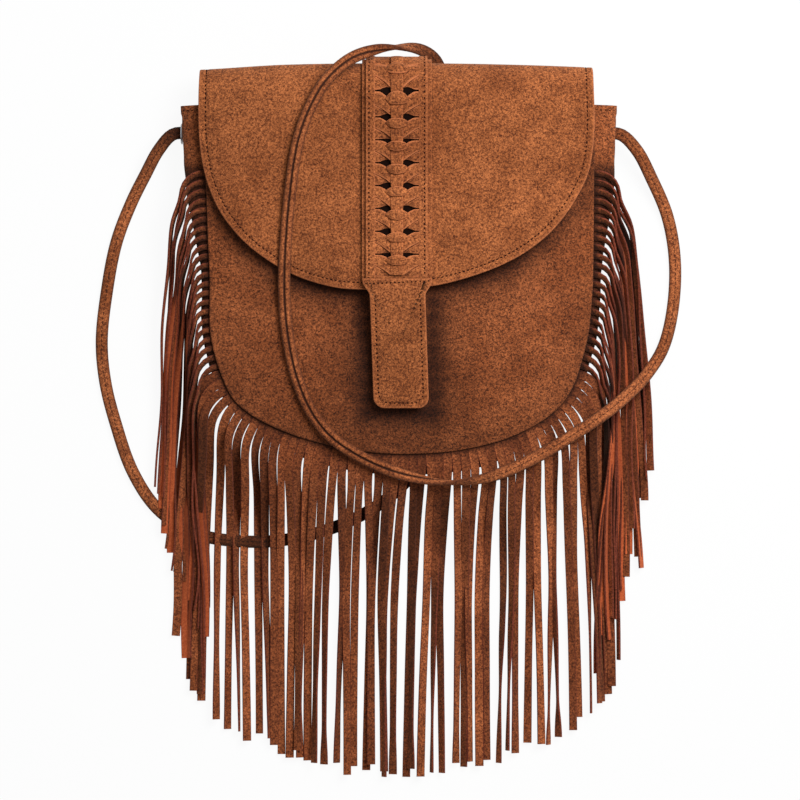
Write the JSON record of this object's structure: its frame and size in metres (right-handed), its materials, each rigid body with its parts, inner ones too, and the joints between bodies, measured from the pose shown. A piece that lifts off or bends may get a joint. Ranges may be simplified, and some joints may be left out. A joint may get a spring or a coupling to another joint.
{
  "type": "fringed suede bag",
  "caption": "Flat crossbody pouch in brown suede with a curved snap flap, a laced centre band, long fringe round the seam and a narrow strap.",
  "frame": {"origin": "on the floor under the middle of the bag, which lies on its back; the middle is that of the outline without the strap", "axes": "+Z out of the bag's front, +Y towards the fold of the flap, +X to the right seen from the front"},
  "size_m": [0.3416, 0.4259, 0.0429],
  "materials": {
    "suede": "brushed brown suede",
    "fringe_suede": "cut brown suede, brighter orange reverse",
    "strap_suede": "folded brown suede",
    "dark_backing": "dark brown, matt",
    "lining_cloth": "plain woven brown cloth",
    "eyelet_metal": "bright nickel",
    "snap_metal": "satin"
  },
  "bodies": {
    "root": {"back_panel": "suede", "gusset": "suede", "front_panel": "suede", "lining": "lining_cloth", "flap": "suede", "flap_lining": "lining_cloth", "band_backing": "dark_backing", "braided_band": "suede", "woven_thong": "suede", "closure_tab": "suede", "tab_backing": "dark_backing", "snap_socket": "snap_metal", "snap_stud": "snap_metal", "snap_stud_washer": "snap_metal", "snap_socket_washer": "snap_metal", "fringe_left": "fringe_suede", "fringe_bottom": "fringe_suede", "fringe_right": "fringe_suede", "eyelet_left": "eyelet_metal", "eyelet_washer_left": "eyelet_metal", "strap_knot_left": "strap_suede", "eyelet_right": "eyelet_metal", "eyelet_washer_right": "eyelet_metal", "strap_knot_right": "strap_suede", "strap": "strap_suede"}
  },
  "joints": []
}
